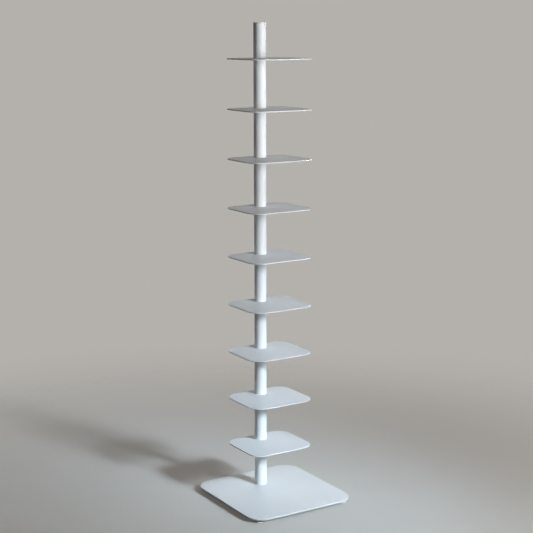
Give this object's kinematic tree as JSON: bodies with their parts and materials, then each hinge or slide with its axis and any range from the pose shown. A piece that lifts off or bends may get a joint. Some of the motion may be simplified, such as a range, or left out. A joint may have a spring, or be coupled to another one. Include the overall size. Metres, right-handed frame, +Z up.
{
  "type": "spine bookshelf",
  "caption": "Spine bookshelf: thin steel plates with rounded corners stacked up one round pole, which stands behind the centre of a square base plate on levelling feet.",
  "frame": {"origin": "on the floor under the centre of the base plate, the feet screwed home", "axes": "+Z up along the pole, -Y towards the front, +X to the right seen from the front"},
  "size_m": [0.385, 0.395, 1.551],
  "materials": {
    "white_powder_coat": "matte",
    "zinc_plated_steel": "satin",
    "pad_nylon": "matte"
  },
  "bodies": {
    "bookshelf": {"base_plate": "white_powder_coat", "foot_plug": "zinc_plated_steel", "base_screws": "zinc_plated_steel", "foot_bosses": "white_powder_coat", "pole_tube_1": "white_powder_coat", "plug_under_shelf_1": "zinc_plated_steel", "shelf_plate_1": "white_powder_coat", "plug_over_shelf_1": "zinc_plated_steel", "pole_tube_2": "white_powder_coat", "plug_under_shelf_2": "zinc_plated_steel", "shelf_plate_2": "white_powder_coat", "plug_over_shelf_2": "zinc_plated_steel", "pole_tube_3": "white_powder_coat", "plug_under_shelf_3": "zinc_plated_steel", "shelf_plate_3": "white_powder_coat", "plug_over_shelf_3": "zinc_plated_steel", "pole_tube_4": "white_powder_coat", "plug_under_shelf_4": "zinc_plated_steel", "shelf_plate_4": "white_powder_coat", "plug_over_shelf_4": "zinc_plated_steel", "pole_tube_5": "white_powder_coat", "plug_under_shelf_5": "zinc_plated_steel", "shelf_plate_5": "white_powder_coat", "plug_over_shelf_5": "zinc_plated_steel", "pole_tube_6": "white_powder_coat", "plug_under_shelf_6": "zinc_plated_steel", "shelf_plate_6": "white_powder_coat", "plug_over_shelf_6": "zinc_plated_steel", "pole_tube_7": "white_powder_coat", "plug_under_shelf_7": "zinc_plated_steel", "shelf_plate_7": "white_powder_coat", "plug_over_shelf_7": "zinc_plated_steel", "pole_tube_8": "white_powder_coat", "plug_under_shelf_8": "zinc_plated_steel", "shelf_plate_8": "white_powder_coat", "plug_over_shelf_8": "zinc_plated_steel", "pole_tube_9": "white_powder_coat", "plug_under_shelf_9": "zinc_plated_steel", "shelf_plate_9": "white_powder_coat", "plug_over_shelf_9": "zinc_plated_steel", "pole_tube_10": "white_powder_coat", "locating_pins": "zinc_plated_steel", "tie_rod": "zinc_plated_steel", "clamp_plug": "zinc_plated_steel", "clamp_washer": "zinc_plated_steel", "clamp_nut": "zinc_plated_steel", "top_cap": "white_powder_coat"},
    "pad_front_left": {"levelling_pad_front_left": "pad_nylon"},
    "screw_front_left": {"levelling_screw_front_left": "zinc_plated_steel"},
    "pad_front_right": {"levelling_pad_front_right": "pad_nylon"},
    "screw_front_right": {"levelling_screw_front_right": "zinc_plated_steel"},
    "pad_back_left": {"levelling_pad_back_left": "pad_nylon"},
    "screw_back_left": {"levelling_screw_back_left": "zinc_plated_steel"},
    "pad_back_right": {"levelling_pad_back_right": "pad_nylon"},
    "screw_back_right": {"levelling_screw_back_right": "zinc_plated_steel"}
  },
  "joints": [
    {"name": "foot_drop_front_left", "type": "slide", "parent": "bookshelf", "child": "pad_front_left", "axis": [0, 0, -1], "range_m": [0, 0.005]},
    {"name": "screw_turn_front_left", "type": "hinge", "parent": "pad_front_left", "child": "screw_front_left", "pos_m": [-0.1595, -0.1645, 0.005], "axis": [0, 0, -1], "range_deg": [0, 1440]},
    {"name": "foot_drop_front_right", "type": "slide", "parent": "bookshelf", "child": "pad_front_right", "axis": [0, 0, -1], "range_m": [0, 0.005]},
    {"name": "screw_turn_front_right", "type": "hinge", "parent": "pad_front_right", "child": "screw_front_right", "pos_m": [0.1595, -0.1645, 0.005], "axis": [0, 0, -1], "range_deg": [0, 1440]},
    {"name": "foot_drop_back_left", "type": "slide", "parent": "bookshelf", "child": "pad_back_left", "axis": [0, 0, -1], "range_m": [0, 0.005]},
    {"name": "screw_turn_back_left", "type": "hinge", "parent": "pad_back_left", "child": "screw_back_left", "pos_m": [-0.1595, 0.1645, 0.005], "axis": [0, 0, -1], "range_deg": [0, 1440]},
    {"name": "foot_drop_back_right", "type": "slide", "parent": "bookshelf", "child": "pad_back_right", "axis": [0, 0, -1], "range_m": [0, 0.005]},
    {"name": "screw_turn_back_right", "type": "hinge", "parent": "pad_back_right", "child": "screw_back_right", "pos_m": [0.1595, 0.1645, 0.005], "axis": [0, 0, -1], "range_deg": [0, 1440]}
  ],
  "couplings": [
    {"joint": "screw_turn_front_left", "follows": "foot_drop_front_left", "rad_per_m": 5026.5},
    {"joint": "screw_turn_front_right", "follows": "foot_drop_front_right", "rad_per_m": 5026.5},
    {"joint": "screw_turn_back_left", "follows": "foot_drop_back_left", "rad_per_m": 5026.5},
    {"joint": "screw_turn_back_right", "follows": "foot_drop_back_right", "rad_per_m": 5026.5}
  ]
}
